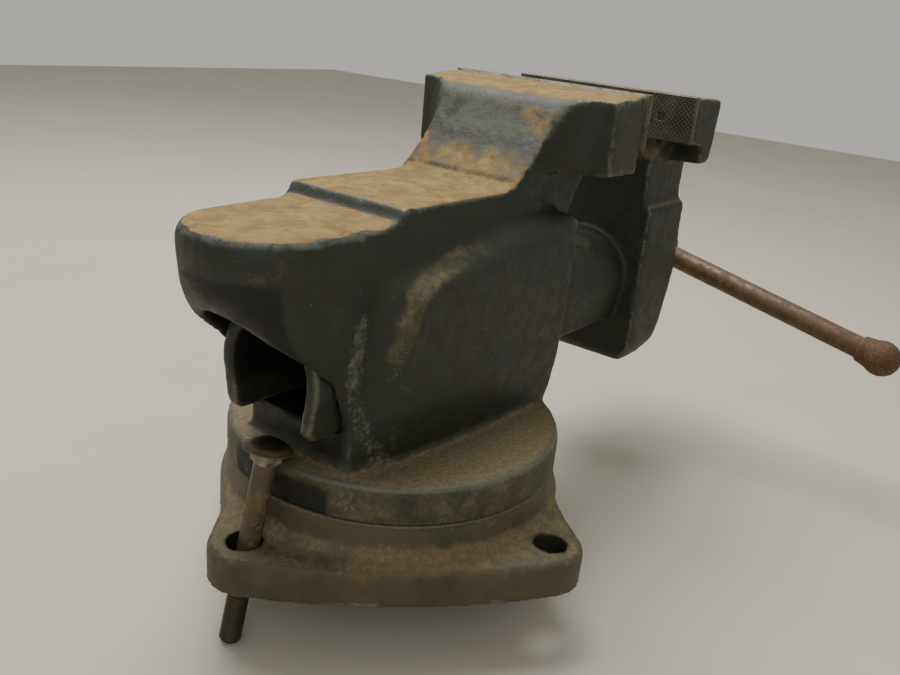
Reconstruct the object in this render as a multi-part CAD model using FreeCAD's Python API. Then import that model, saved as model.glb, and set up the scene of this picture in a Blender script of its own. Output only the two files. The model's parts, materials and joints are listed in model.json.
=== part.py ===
import FreeCAD, Part
import math
import os
from FreeCAD import Vector

# Machine vise on a swivel base, jaws 150 mm wide, standing open by 74 mm.
# Origin: centre of the base's flat bottom, on the swivel axis.
# +Z is up, +X runs from the tail to the moving jaw, +Y is the side of the swivel lock.

# Base
ear_reach = 116.0            # swivel axis to the centre of an ear's rounded end
ear_radius = 24.0
side_bulge = 115.0           # swivel axis to the middle of a bulging side
waist_radius = 107.0         # swivel axis to the middle of a waisted side
ear_flank = 52.0             # degrees from an ear's axis to the normal of its straight flank
plate_thickness = 22.5
hole_circle_radius = 120.5
bench_hole_radius = 9.5
ring_radius = 102.5
ring_top = 42.4
cove_radius = 9.5
ring_draft = 1.5             # how much wider the ring is at the top of its cove
plate_edge_radius = 3.5
lock_circle_radius = 80.0
lock_angle = 70.0            # degrees from +X towards +Y
lock_slot_half_width = 6.5
lock_undercut_half_width = 14.0
lock_undercut_bottom = 20.0
lock_undercut_top = 34.0

# Turret flange and body
swivel_gap = 0.2
flange_radius = 103.0
flange_bottom = ring_top + swivel_gap
flange_top = 65.7
floor_top = 85.6
body_front = 94.0
ledge_climb = 9.2            # degrees
anvil_top = 206.0
tail_top = 198.0
platform_half_width = 43.0
jaw_half_width = 75.0
jaw_back = 92.4
jaw_face = 136.8
jaw_top_front = 262.9
jaw_top_back = 259.7
jaw_end_bottom = 213.0
cove_reach = 31.0            # radius of the hollow between the neck's side and the jaw's back

# Slide, apron and moving jaw
slide_radius = 36.5
slide_axis_height = 117.0
slide_bottom = 86.0
slide_foot_half_width = 31.0
slide_wall = 9.0
slide_rear = -107.7
slide_clearance = 0.4
apron_back = 220.0
apron_half_width = 50.0
jaw_gap = 74.2
moving_jaw_face = jaw_face + jaw_gap
moving_jaw_half_width = 73.0
moving_jaw_top = 260.0
jaw_plate_thickness = 5.0
jaw_plate_bottom = 228.0
jaw_pin_radius = 3.0
jaw_pin_offset = 48.0
jaw_pin_height = 244.0
jaw_pin_depth = 22.0         # jaw face to the bottom of a pin's hole

# Fasteners
king_bolt_radius = 12.0
king_bolt_bottom = 12.4
king_head_flats = 34.0
king_washer_bottom = 63.6
king_head_bottom = 66.3
king_head_top = 79.5
king_washer_radius = 20.5
king_pocket_radius = 22.0
hub_radius = 26.0
core_radius = 50.0           # hollow around the hub, under the floor
core_top = 60.0
nut_bolt_radius = 6.0
nut_bolt_x = 36.0
nut_bolt_flats = 17.0
nut_washer_radius = 10.0
nut_foot_thickness = 8.0
nut_washer_thickness = 2.0
nut_dowel_radius = 4.0
nut_dowel_x = 70.0
nut_dowel_offset = 12.0
lock_bolt_radius = 6.0
lock_washer_radius = 12.5
lock_nut_flats = 19.0
lock_nut_top = flange_top + 13.0

# Screw, nut and handle
screw_axis_height = 122.0
thread_radius = 15.0
journal_radius = 16.0
running_clearance = 0.08
boss_radius = 29.0
boss_front = 312.0
thrust_washer_thickness = 3.0
thrust_flange_radius = 25.0
screw_rear = -70.0
screw_journal_rear = 203.0
head_radius = 22.0
collar_radius = 21.0
collar_pin_radius = 3.0
collar_pin_x = screw_journal_rear + 5.0
thrust_washer_radius = 26.0
thrust_flange_thickness = 8.0
head_centre = 338.0
head_front = 358.0
rod_radius = 9.0
rod_slope = 12.0             # degrees below horizontal on the -Y side
rod_half_length = 127.1
rod_offset = 86.6            # how far the bar's middle has slid out of the head
knob_radius = 14.5
nut_front = 93.0
nut_rear = 46.0
nut_half_width = 20.0

# Bolt standing in the rear ear
bolt_radius = 6.3
bolt_tip = Vector(-128.9, 1.0, -38.0)
bolt_top = Vector(-108.4, -4.9, 81.5)
bolt_head_radius = 13.5
bolt_head_height = 6.5

X = Vector(1, 0, 0)
Y = Vector(0, 1, 0)
Z = Vector(0, 0, 1)


def box(x0, x1, y0, y1, z0, z1):
    """Box between two corners."""
    return Part.makeBox(x1 - x0, y1 - y0, z1 - z0, Vector(x0, y0, z0))


def rod(radius, start, end):
    """Cylinder from one point to another."""
    run = end - start
    return Part.makeCylinder(radius, run.Length, start, run)


def polygon(points):
    """Closed flat face through the points."""
    return Part.Face(Part.makePolygon(points + [points[0]]))


def side_prism(outline, half_width):
    """(x, z) outline extruded to both sides of the vise's middle plane."""
    face = polygon([Vector(x, -half_width, z) for x, z in outline])
    return face.extrude(Vector(0, 2 * half_width, 0))


def plan_loft(sections, ruled=True):
    """Loft through plan outlines, each given as (height, [(x, y), ...])."""
    wires = []
    for height, outline in sections:
        points = [Vector(x, y, height) for x, y in outline]
        wires.append(Part.makePolygon(points + [points[0]]))
    return Part.makeLoft(wires, True, ruled)


def both_sides(half_outline):
    """Close a plan outline given on the -Y side with its mirror image."""
    return half_outline + [(x, -y) for x, y in reversed(half_outline)]


def near(value, target, tolerance=0.05):
    return abs(value - target) < tolerance


def fillet_where(shape, radius, test):
    """Round the edges that pass the test; leave the shape alone if that fails."""
    edges = [edge for edge in shape.Edges if test(edge.BoundBox, edge)]
    if not edges:
        print("no edges for fillet", radius)
        return shape
    try:
        rounded = shape.makeFillet(radius, edges)
    except Exception as problem:
        print("fillet", radius, "left out:", problem)
        return shape
    if rounded.isValid() and rounded.Volume > 0:
        return rounded
    print("fillet", radius, "was not valid")
    return shape


def hexagon_prism(across_flats, bottom, top, centre):
    radius = across_flats / math.sqrt(3)
    corners = []
    for step in range(6):
        angle = math.radians(60 * step)
        corners.append(Vector(centre.x + radius * math.cos(angle),
                              centre.y + radius * math.sin(angle), bottom))
    return polygon(corners).extrude(Vector(0, 0, top - bottom))


def ring(outer, inner, bottom, top, centre=Vector(0, 0, 0)):
    base = Vector(centre.x, centre.y, bottom)
    disc = Part.makeCylinder(outer, top - bottom, base)
    return disc.cut(Part.makeCylinder(inner, top - bottom + 2, base - Z))


def arch(radius, foot_half_width, bottom, x0, x1):
    """Inverted U outline, filled, from x0 to x1."""
    tilt = math.radians(8)
    shoulder_y = radius * math.cos(tilt)
    shoulder_z = slide_axis_height - radius * math.sin(tilt)
    left_foot = Vector(x0, -foot_half_width, bottom)
    right_foot = Vector(x0, foot_half_width, bottom)
    left = Vector(x0, -shoulder_y, shoulder_z)
    right = Vector(x0, shoulder_y, shoulder_z)
    crown = Vector(x0, 0, slide_axis_height + radius)
    edges = [
        Part.makeLine(right_foot, left_foot),
        Part.makeLine(left_foot, left),
        Part.Arc(left, crown, right).toShape(),
        Part.makeLine(right, right_foot),
    ]
    return Part.Face(Part.Wire(edges)).extrude(Vector(x1 - x0, 0, 0))


def lock_point(height):
    angle = math.radians(lock_angle)
    return Vector(lock_circle_radius * math.cos(angle), lock_circle_radius * math.sin(angle), height)


# ---------------------------------------------------------------- swivel base

def around(radius, angle):
    """Point in plan at that radius and angle, in radians, from the swivel axis."""
    return Vector(radius * math.cos(angle), radius * math.sin(angle), 0)


def bulging_side(turn):
    """Long arc from one ear to the next, tangent to both ears."""
    following = turn + math.pi / 2
    middle = turn + math.pi / 4
    diagonal = side_bulge - ear_radius
    setback = (ear_reach ** 2 - diagonal ** 2) / (2 * diagonal - math.sqrt(2) * ear_reach)
    centre = around(-setback, middle)
    ends = []
    for angle in (turn, following):
        ear = around(ear_reach, angle)
        away = ear - centre
        away.normalize()
        ends.append(ear + away * ear_radius)
    return ends[0], ends[1], [Part.Arc(ends[0], around(side_bulge, middle), ends[1]).toShape()]


def waisted_side(turn):
    """Straight flanks that run in from two ears to the foot of the ring."""
    following = turn + math.pi / 2
    middle = turn + math.pi / 4
    flank = math.radians(ear_flank)
    leave = around(ear_reach, turn) + around(ear_radius, turn + flank)
    arrive = around(ear_reach, following) + around(ear_radius, following - flank)
    inward = around(1, turn + flank + math.pi / 2)
    outward = around(1, following - flank + math.pi / 2)
    along = leave.dot(inward)
    run = -along - math.sqrt(along ** 2 - leave.Length ** 2 + waist_radius ** 2)
    first = leave + inward * run
    last = arrive - outward * run
    edges = [Part.makeLine(leave, first), Part.Arc(first, around(waist_radius, middle), last).toShape(),
             Part.makeLine(last, arrive)]
    return leave, arrive, edges


def base_outline():
    """Four rounded ears; two opposite sides bulge and the other two are waisted."""
    sides = []
    for quarter in range(4):
        side = bulging_side if quarter % 2 == 0 else waisted_side
        sides.append(side(math.radians(90 * quarter)))
    edges = []
    for quarter in range(4):
        arrive_before = sides[quarter - 1][1]
        leave = sides[quarter][0]
        tip = around(ear_reach + ear_radius, math.radians(90 * quarter))
        edges.append(Part.Arc(arrive_before, tip, leave).toShape())
        edges += sides[quarter][2]
    return Part.Face(Part.Wire(edges))


def swivel_base():
    plate = base_outline().extrude(Vector(0, 0, plate_thickness))
    plate = fillet_where(plate, plate_edge_radius, lambda b, e: near(b.ZMin, plate_thickness)
                         and near(b.ZMax, plate_thickness))
    cove_top = ring_radius + ring_draft
    foot = cove_top + cove_radius
    slant = math.sin(math.radians(45))
    start = Vector(0, 0, plate_thickness - 4)
    profile = [
        Part.makeLine(start, Vector(foot, 0, plate_thickness - 4)),
        Part.makeLine(Vector(foot, 0, plate_thickness - 4), Vector(foot, 0, plate_thickness)),
        Part.Arc(Vector(foot, 0, plate_thickness),
                 Vector(foot - cove_radius * slant, 0, plate_thickness + cove_radius * (1 - slant)),
                 Vector(cove_top, 0, plate_thickness + cove_radius)).toShape(),
        Part.makeLine(Vector(cove_top, 0, plate_thickness + cove_radius), Vector(ring_radius, 0, ring_top)),
        Part.makeLine(Vector(ring_radius, 0, ring_top), Vector(0, 0, ring_top)),
        Part.makeLine(Vector(0, 0, ring_top), start),
    ]
    dome = Part.Face(Part.Wire(profile)).revolve(Vector(0, 0, 0), Z, 360)
    dome = dome.common(base_outline().extrude(Vector(0, 0, ring_top + 1)))
    shape = plate.fuse(dome)
    for quarter in range(4):
        centre = around(hole_circle_radius, math.radians(90 * quarter)) - Z
        shape = shape.cut(Part.makeCylinder(bench_hole_radius, plate_thickness + 30, centre))
    slot = ring(lock_circle_radius + lock_slot_half_width, lock_circle_radius - lock_slot_half_width,
                lock_undercut_top - 1, ring_top + 1)
    undercut = ring(lock_circle_radius + lock_undercut_half_width, lock_circle_radius - lock_undercut_half_width,
                    lock_undercut_bottom, lock_undercut_top)
    entry = Part.makeCylinder(lock_undercut_half_width, 30,
                              Vector(0, -lock_circle_radius, lock_undercut_bottom + 2))
    shape = shape.cut(slot).cut(undercut).cut(entry)
    pivot_hole = Part.makeCylinder(king_bolt_radius, 40, Vector(0, 0, king_bolt_bottom - 0.4))
    return shape.cut(pivot_hole).removeSplitter()


def king_bolt():
    shank = Part.makeCylinder(king_bolt_radius, king_head_bottom - king_bolt_bottom + 0.1,
                              Vector(0, 0, king_bolt_bottom))
    head = hexagon_prism(king_head_flats, king_head_bottom, king_head_top, Vector(0, 0, 0))
    return shank.fuse(head).removeSplitter()


def king_bolt_washer():
    return ring(king_washer_radius, king_bolt_radius + 0.3, king_washer_bottom, king_head_bottom)


# ---------------------------------------------------------------- body casting

def tail_outline(height_back):
    """Plan of the tail: straight sides and a round end reaching back to the given x."""
    height, back, half_width = height_back
    centre_x = back + half_width
    points = [Vector(60, -half_width, height), Vector(centre_x, -half_width, height),
              Vector(back, 0, height), Vector(centre_x, half_width, height), Vector(60, half_width, height)]
    edges = [
        Part.makeLine(points[0], points[1]),
        Part.Arc(points[1], points[2], points[3]).toShape(),
        Part.makeLine(points[3], points[4]),
        Part.makeLine(points[4], points[0]),
    ]
    return Part.Wire(edges)


def tail_solid():
    """Bow-shaped tail, cut off below by the sloping mouth of the hood."""
    sections = [(66, -88, 41.0), (100, -112, 42.5), (132, -135.5, 43.5), (140, -140, 43.5), (149, -145.5, 43.5),
                (160, -149.5, 43.5), (171, -151.8, 43.3), (182, -153.5, 43.2), (190, -154.2, 43.0),
                (194.6, -153.5, 42.3), (197.1, -151.4, 40.5), (tail_top, -148.8, 38.0)]
    bow = Part.makeLoft([tail_outline(section) for section in sections], True, True)
    mouth = side_prism([(-86, floor_top), (-123, 127), (-140, 154), (-149, 165), (-200, 162), (-230, 120),
                        (-160, 40), (-86, 40)], 80)
    return bow.cut(mouth)


def crown(half_width):
    """Anvil with the curved slope that climbs to the back of the fixed jaw, as wide as asked."""
    outline = [Vector(-63, 0, 190), Vector(-61, 0, 198), Vector(-56, 0, anvil_top), Vector(36, 0, anvil_top)]
    arc = Part.Arc(Vector(36, 0, anvil_top), Vector(57, 0, 224), Vector(76, 0, 250)).toShape()
    crest = Part.Arc(Vector(76, 0, 250), Vector(82, 0, 256), Vector(jaw_back, 0, jaw_top_back)).toShape()
    end = [Vector(jaw_back, 0, jaw_top_back), Vector(120, 0, 256), Vector(120, 0, 190), Vector(-63, 0, 190)]
    edges = [Part.makeLine(a, b) for a, b in zip(outline, outline[1:])]
    edges += [arc, crest]
    edges += [Part.makeLine(a, b) for a, b in zip(end, end[1:])]
    face = Part.Face(Part.Wire(edges))
    face.translate(Vector(0, -half_width, 0))
    return face.extrude(Vector(0, 2 * half_width, 0))


def column():
    """Waist of the body between the flange and the platforms."""
    lower = both_sides([(-85, -38), (-60, -45), (body_front - 2, -46)])
    middle = both_sides([(-84, -43), (-60, -47), (body_front, -47)])
    upper = both_sides([(-86, -43), (-60, -44.5), (body_front, -46)])
    head = both_sides([(-86, -43), (-60, -43), (body_front, -43)])
    return plan_loft([(62, lower), (120, middle), (176, upper), (tail_top - 1, head)])


def side_panels():
    """Raised panel on each side of the column, with a chamfered ledge that climbs towards the jaw."""
    foot = both_sides([(-82, -38), (-52, -45.5), (8, -53), (90, -54.5)])
    skirt = both_sides([(-81, -39.5), (-55, -49), (9, -55), (body_front, -56.5)])
    low = both_sides([(-79, -42), (-60, -55), (10, -59), (body_front + 0.6, -59)])
    high = both_sides([(-74, -45), (-64, -58.5), (10, -60), (body_front + 2.5, -60)])
    top = both_sides([(-70, -45), (-60, -57.5), (10, -59), (body_front + 2.5, -59)])
    panels = plan_loft([(62, foot), (74, skirt), (96, low), (150, high), (190, top)])
    ledge = polygon([Vector(-100, 0, 171), Vector(-100, -46, 167), Vector(-100, -62, 153), Vector(-100, -62, 230),
                     Vector(-100, 62, 230), Vector(-100, 62, 153), Vector(-100, 46, 167)])
    ledge = ledge.extrude(Vector(240, 0, 0))
    ledge.rotate(Vector(-100, 0, 165), Y, -ledge_climb)
    return panels.cut(ledge)


def fixed_jaw():
    """Jaw bar with the flared gussets that carry it."""
    back_plate = jaw_face - jaw_plate_thickness
    outline = [(jaw_back, jaw_end_bottom + 4), (jaw_back, jaw_top_back), (back_plate, jaw_top_front - 0.4),
               (back_plate, jaw_end_bottom), (96, jaw_end_bottom)]
    bar = side_prism(outline, jaw_half_width)
    bar = fillet_where(bar, 9, lambda b, e: near(b.XMax, jaw_back) and near(b.XMin, jaw_back)
                       and b.ZMax - b.ZMin > 20)
    bar = fillet_where(bar, 3, lambda b, e: near(b.ZMin, jaw_top_back) and b.YMax - b.YMin > 60)
    flare = side_prism([(40, 188), (40, 270), (100, 270), (100, jaw_end_bottom), (70, jaw_end_bottom), (66, 188)],
                       jaw_half_width)
    gusset = crown(jaw_half_width).common(flare)
    for side in (-1, 1):
        cove = Part.makeCylinder(cove_reach, 90, Vector(jaw_back - cove_reach, side * jaw_half_width, 180))
        outside = box(0, jaw_back - cove_reach, side * 65 - 21, side * 65 + 21, 180, 270)
        gusset = gusset.cut(cove).cut(outside)
    throat = side_prism([(60, 176), (94, 160), (104, 160), (back_plate, 214), (back_plate, 250),
                         (80, 250), (60, 215)], platform_half_width)
    lip = side_prism([(126, 228), (back_plate, 228), (back_plate, 214), (126, 214)], 60)
    return bar.fuse(gusset).fuse(throat).fuse(lip)


def flange():
    disc = Part.makeCylinder(flange_radius, flange_top - flange_bottom, Vector(0, 0, flange_bottom))
    return fillet_where(disc, 5, lambda b, e: near(b.ZMin, flange_top))


def body_casting():
    solid = tail_solid().fuse(crown(platform_half_width)).fuse(column()).fuse(side_panels())
    solid = solid.fuse(fixed_jaw()).fuse(flange())
    # recess under each end of the jaw
    for side in (-1, 1):
        near_y = side * 40
        far_y = side * 80
        recess = polygon([Vector(69, near_y, 199), Vector(70, near_y, jaw_end_bottom),
                          Vector(150, near_y, jaw_end_bottom), Vector(150, near_y, 170), Vector(96, near_y, 187)])
        solid = solid.cut(recess.extrude(Vector(0, far_y - near_y, 0)))
    # tunnel for the slide
    tunnel = arch(slide_radius + slide_clearance, slide_foot_half_width + slide_clearance,
                  slide_bottom - slide_clearance, -230, 150)
    solid = solid.cut(tunnel)
    # hollow under the hood, above the slide
    hollow = Part.makeLoft([tail_outline((height, back, half_width)) for height, back, half_width in
                            ((84, -86, 33), (132, -122, 34), (154, -135, 34), (178, -142, 32))], True, False)
    hollow = hollow.common(box(-200, -82, -60, 60, 84, 178))
    solid = solid.cut(hollow)
    # pivot: hub bore and the pocket that takes the king bolt's head
    solid = solid.cut(Part.makeCylinder(king_bolt_radius + running_clearance, 60, Vector(0, 0, 40)))
    solid = solid.cut(Part.makeCylinder(king_pocket_radius, 40, Vector(0, 0, king_washer_bottom - 0.1)))
    solid = solid.cut(Part.makeCylinder(lock_bolt_radius + 0.5, 60, lock_point(30)))
    # core hollow under the floor, open downwards around the hub
    solid = solid.cut(ring(core_radius, hub_radius, flange_bottom - 1, core_top))
    # holes for the main nut's bolt and dowels
    solid = solid.cut(Part.makeCylinder(nut_bolt_radius, 22, Vector(nut_bolt_x, 0, floor_top - 20)))
    for side in (-1, 1):
        solid = solid.cut(Part.makeCylinder(nut_dowel_radius, 10, Vector(nut_dowel_x, side * nut_dowel_offset,
                                                                        floor_top - 8)))
    for y in (-jaw_pin_offset, jaw_pin_offset):
        solid = solid.cut(rod(jaw_pin_radius, Vector(jaw_face - jaw_pin_depth, y, jaw_pin_height),
                              Vector(jaw_face + 15, y, jaw_pin_height)))
    return solid.removeSplitter()


def jaw_plate(face_x, inward, half_width, bottom, top):
    """Hardened plate with two pin holes; inward points into the casting."""
    x0 = min(face_x, face_x + inward * jaw_plate_thickness)
    plate = box(x0, x0 + jaw_plate_thickness, -half_width, half_width, bottom, top)
    for y in (-jaw_pin_offset, jaw_pin_offset):
        plate = plate.cut(rod(jaw_pin_radius, Vector(x0 - 5, y, jaw_pin_height),
                              Vector(x0 + 15, y, jaw_pin_height)))
    return plate


def jaw_pins(face_x, inward):
    pins = []
    for y in (-jaw_pin_offset, jaw_pin_offset):
        start = Vector(face_x + inward * 1.0, y, jaw_pin_height)
        pins.append(rod(jaw_pin_radius, start, start + X * (inward * (jaw_pin_depth - 1.0))))
    return Part.makeCompound(pins)


# ---------------------------------------------------------------- moving jaw

def slide():
    outer = arch(slide_radius, slide_foot_half_width, slide_bottom, slide_rear, apron_back + 4)
    inner = arch(slide_radius - slide_wall, slide_foot_half_width - slide_wall + 1, slide_bottom - 1,
                 slide_rear - 1, screw_journal_rear + 11)
    shape = outer.cut(inner)
    return fillet_where(shape, 8, lambda b, e: near(b.XMin, slide_rear) and near(b.XMax, slide_rear)
                        and near(b.ZMin, slide_bottom) and near(b.ZMax, slide_bottom))


def apron():
    profile = [(apron_back, 56), (apron_back + 6, 50), (258, 50), (269, 62), (276, 74), (283, 98),
               (288, 120), (286, 150), (284, 177), (apron_back, 177)]
    body = side_prism(profile, apron_half_width)
    front_view = polygon([Vector(200, -41, 50), Vector(200, -50, 65), Vector(200, -50, 180),
                          Vector(200, 50, 180), Vector(200, 50, 65), Vector(200, 41, 50)])
    body = body.common(front_view.extrude(Vector(120, 0, 0)))
    body = fillet_where(body, 4, lambda b, e: b.XMin > 262 and b.ZMax - b.ZMin > 8 and b.YMax - b.YMin < 1)
    neck = plan_loft([(170, both_sides([(apron_back + 1, -44), (283, -44)])),
                      (205, both_sides([(217, -44), (283, -44)])),
                      (230, both_sides([(222, -50), (275, -52)]))])
    boss = rod(boss_radius, Vector(270, 0, screw_axis_height), Vector(boss_front, 0, screw_axis_height))
    boss = fillet_where(boss, 3, lambda b, e: near(b.XMin, boss_front))
    return body.fuse(neck).fuse(boss)


def moving_jaw_bar():
    back = moving_jaw_face + jaw_plate_thickness
    outline = [(back, jaw_plate_bottom), (back, moving_jaw_top), (258, moving_jaw_top - 1.5), (262, 254),
               (259, 227), (256, 214), (250, 211), (238, 211), (237, 224)]
    bar = side_prism(outline, moving_jaw_half_width)
    return fillet_where(bar, 4, lambda b, e: b.XMin > 250 and b.ZMax - b.ZMin > 15 and b.YMax - b.YMin < 1)


def moving_jaw_casting():
    solid = slide().fuse(apron()).fuse(moving_jaw_bar())
    bore = rod(journal_radius + running_clearance, Vector(200, 0, screw_axis_height),
               Vector(boss_front + 5, 0, screw_axis_height))
    solid = solid.cut(bore)
    for y in (-jaw_pin_offset, jaw_pin_offset):
        start = Vector(moving_jaw_face, y, jaw_pin_height)
        solid = solid.cut(rod(jaw_pin_radius, start, start + X * jaw_pin_depth))
    return solid.removeSplitter()


# ---------------------------------------------------------------- screw and nut

def handle_direction():
    """Unit vector along the bar, pointing to its far, raised end."""
    slope = math.radians(rod_slope)
    return Vector(0, math.cos(slope), math.sin(slope))


def collar_pin_rod(half_length):
    """Rod across the screw where the collar is pinned to it."""
    return rod(collar_pin_radius, Vector(collar_pin_x, -half_length, screw_axis_height),
               Vector(collar_pin_x, half_length, screw_axis_height))


def lead_screw():
    def at(x):
        return Vector(x, 0, screw_axis_height)
    thread = rod(thread_radius, at(screw_rear), at(screw_journal_rear))
    thread = fillet_where(thread, 2, lambda b, e: near(b.XMin, screw_rear) and near(b.XMax, screw_rear))
    journal = rod(journal_radius, at(screw_journal_rear), at(head_centre - 16))
    flange_rear = boss_front + thrust_washer_thickness
    thrust = rod(thrust_flange_radius, at(flange_rear), at(flange_rear + thrust_flange_thickness))
    head = rod(head_radius, at(flange_rear + thrust_flange_thickness), at(head_front))
    head = fillet_where(head, 6, lambda b, e: near(b.XMin, head_front))
    screw = thread.fuse(journal).fuse(thrust).fuse(head)
    centre = at(head_centre)
    hole = rod(rod_radius + 0.4, centre - handle_direction() * 40, centre + handle_direction() * 40)
    pin_hole = collar_pin_rod(30)
    return screw.cut(hole).cut(pin_hole).removeSplitter()


def collar_around_screw(x0, x1, outer, inner):
    start = Vector(x0, 0, screw_axis_height)
    end = Vector(x1, 0, screw_axis_height)
    return rod(outer, start, end).cut(rod(inner, start - X, end + X))


def screw_retaining_collar():
    collar = collar_around_screw(screw_journal_rear + 0.5, screw_journal_rear + 10.7,
                                 collar_radius, journal_radius)
    pin_hole = collar_pin_rod(30)
    return collar.cut(pin_hole)


def retaining_collar_pin():
    return collar_pin_rod(collar_radius - 0.5)


def screw_thrust_washer():
    return collar_around_screw(boss_front + 0.1, boss_front + thrust_washer_thickness,
                               thrust_washer_radius, journal_radius + 0.3)


def handle_centre():
    return Vector(head_centre, 0, screw_axis_height) - handle_direction() * rod_offset


def handle_rod():
    along = handle_direction() * rod_half_length
    return rod(rod_radius, handle_centre() - along, handle_centre() + along)


def handle_knob(side):
    """Ball with a short neck, bored for the bar's end."""
    end = handle_centre() + handle_direction() * (side * rod_half_length)
    inward = handle_direction() * (-side)
    ball = Part.makeSphere(knob_radius, end)
    neck = Part.makeCone(knob_radius * 0.86, rod_radius + 1.5, 11, end + inward * 7, inward)
    knob = ball.fuse(neck)
    return knob.cut(rod(rod_radius, end, end + inward * 60)).removeSplitter()


def main_nut():
    barrel = rod(nut_half_width, Vector(nut_rear, 0, screw_axis_height), Vector(nut_front, 0, screw_axis_height))
    block = box(nut_rear, nut_front, -nut_half_width, nut_half_width, floor_top, screw_axis_height)
    foot = box(nut_bolt_x - nut_washer_radius, nut_rear, -15, 15, floor_top, floor_top + nut_foot_thickness)
    nut = barrel.fuse(block).fuse(foot)
    nut = nut.cut(rod(thread_radius + running_clearance, Vector(nut_rear - 5, 0, screw_axis_height),
                      Vector(nut_front + 5, 0, screw_axis_height)))
    nut = nut.cut(Part.makeCylinder(nut_bolt_radius + 0.2, 20, Vector(nut_bolt_x, 0, floor_top - 1)))
    for side in (-1, 1):
        nut = nut.cut(Part.makeCylinder(nut_dowel_radius, 9, Vector(nut_dowel_x, side * nut_dowel_offset,
                                                                 floor_top - 1)))
    return nut.removeSplitter()


def main_nut_bolt():
    washer_top = floor_top + nut_foot_thickness + nut_washer_thickness
    shank = Part.makeCylinder(nut_bolt_radius, 29.5, Vector(nut_bolt_x, 0, floor_top - 19))
    head = hexagon_prism(nut_bolt_flats, washer_top, washer_top + 7, Vector(nut_bolt_x, 0, 0))
    return shank.fuse(head).removeSplitter()


def main_nut_washer():
    bottom = floor_top + nut_foot_thickness
    return ring(nut_washer_radius, nut_bolt_radius + 0.2, bottom, bottom + nut_washer_thickness,
                Vector(nut_bolt_x, 0, 0))


def main_nut_dowels():
    dowels = []
    for side in (-1, 1):
        foot = Vector(nut_dowel_x, side * nut_dowel_offset, floor_top - 8)
        dowels.append(Part.makeCylinder(nut_dowel_radius, 15.5, foot))
    return Part.makeCompound(dowels)


# ---------------------------------------------------------------- swivel lock

def lock_bolt():
    foot = lock_point(0)
    head = box(-11, 11, -11.5, 11.5, lock_undercut_top - 9.3, lock_undercut_top - 0.3)
    head.rotate(Vector(0, 0, 0), Z, lock_angle)
    head.translate(foot)
    shank = Part.makeCylinder(lock_bolt_radius, 52, Vector(foot.x, foot.y, lock_undercut_top - 2))
    return head.fuse(shank).removeSplitter()


def lock_washer():
    return ring(lock_washer_radius, lock_bolt_radius + 0.3, flange_top + 0.05, flange_top + 2.5, lock_point(0))


def lock_nut():
    nut = hexagon_prism(lock_nut_flats, flange_top + 2.6, lock_nut_top, lock_point(0))
    return nut.cut(Part.makeCylinder(lock_bolt_radius + 0.06, 30, lock_point(flange_top - 5)))


# ---------------------------------------------------------------- loose bolt

def mounting_bolt():
    """Carriage bolt: shank, square neck and low domed head."""
    along = bolt_top - bolt_tip
    along.normalize()
    head_foot = bolt_top - along * bolt_head_height
    shank = rod(bolt_radius, bolt_tip, head_foot + along)
    neck = box(-bolt_radius, bolt_radius, -bolt_radius, bolt_radius, -7, 0.5)
    dome_radius = (bolt_head_radius ** 2 + bolt_head_height ** 2) / (2 * bolt_head_height)
    dome = Part.makeSphere(dome_radius, Vector(0, 0, bolt_head_height - dome_radius))
    dome = dome.common(Part.makeCylinder(bolt_head_radius, 20, Vector(0, 0, 1.2)))
    disc = Part.makeCylinder(bolt_head_radius, 1.25, Vector(0, 0, 0))
    head = dome.fuse(disc).fuse(neck)
    head.Placement = FreeCAD.Placement(head_foot, FreeCAD.Rotation(Z, along))
    return shank.fuse(head).removeSplitter()


NODES = {
    "swivel_base": swivel_base,
    "king_bolt": king_bolt,
    "king_bolt_washer": king_bolt_washer,
    "body_casting": body_casting,
    "fixed_jaw_plate": lambda: jaw_plate(jaw_face, -1, jaw_half_width, jaw_plate_bottom, jaw_top_front),
    "fixed_jaw_plate_pins": lambda: jaw_pins(jaw_face, -1),
    "moving_jaw_casting": moving_jaw_casting,
    "moving_jaw_plate": lambda: jaw_plate(moving_jaw_face, 1, moving_jaw_half_width, jaw_plate_bottom,
                                          moving_jaw_top),
    "moving_jaw_plate_pins": lambda: jaw_pins(moving_jaw_face, 1),
    "lead_screw": lead_screw,
    "screw_thrust_washer": screw_thrust_washer,
    "screw_retaining_collar": screw_retaining_collar,
    "retaining_collar_pin": retaining_collar_pin,
    "handle_rod": handle_rod,
    "handle_knob_near": lambda: handle_knob(-1),
    "handle_knob_far": lambda: handle_knob(1),
    "main_nut": main_nut,
    "main_nut_bolt": main_nut_bolt,
    "main_nut_washer": main_nut_washer,
    "main_nut_dowels": main_nut_dowels,
    "lock_bolt": lock_bolt,
    "lock_washer": lock_washer,
    "lock_nut": lock_nut,
    "mounting_bolt": mounting_bolt,
}

os.makedirs("parts", exist_ok=True)
for name, make in NODES.items():
    shape = make()
    solids = len(shape.Solids)
    box_size = shape.BoundBox
    print(f"{name:24s} solids {solids} valid {shape.isValid()} volume {shape.Volume / 1000:9.1f} cm3 "
          f"x {box_size.XMin:.1f}..{box_size.XMax:.1f} y {box_size.YMin:.1f}..{box_size.YMax:.1f} "
          f"z {box_size.ZMin:.1f}..{box_size.ZMax:.1f}")
    shape.exportStep(f"parts/{name}.step")
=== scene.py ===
import json
import math

import bmesh
import bpy
import numpy as np
from mathutils import Matrix, Vector
from mathutils.bvhtree import BVHTree


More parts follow.
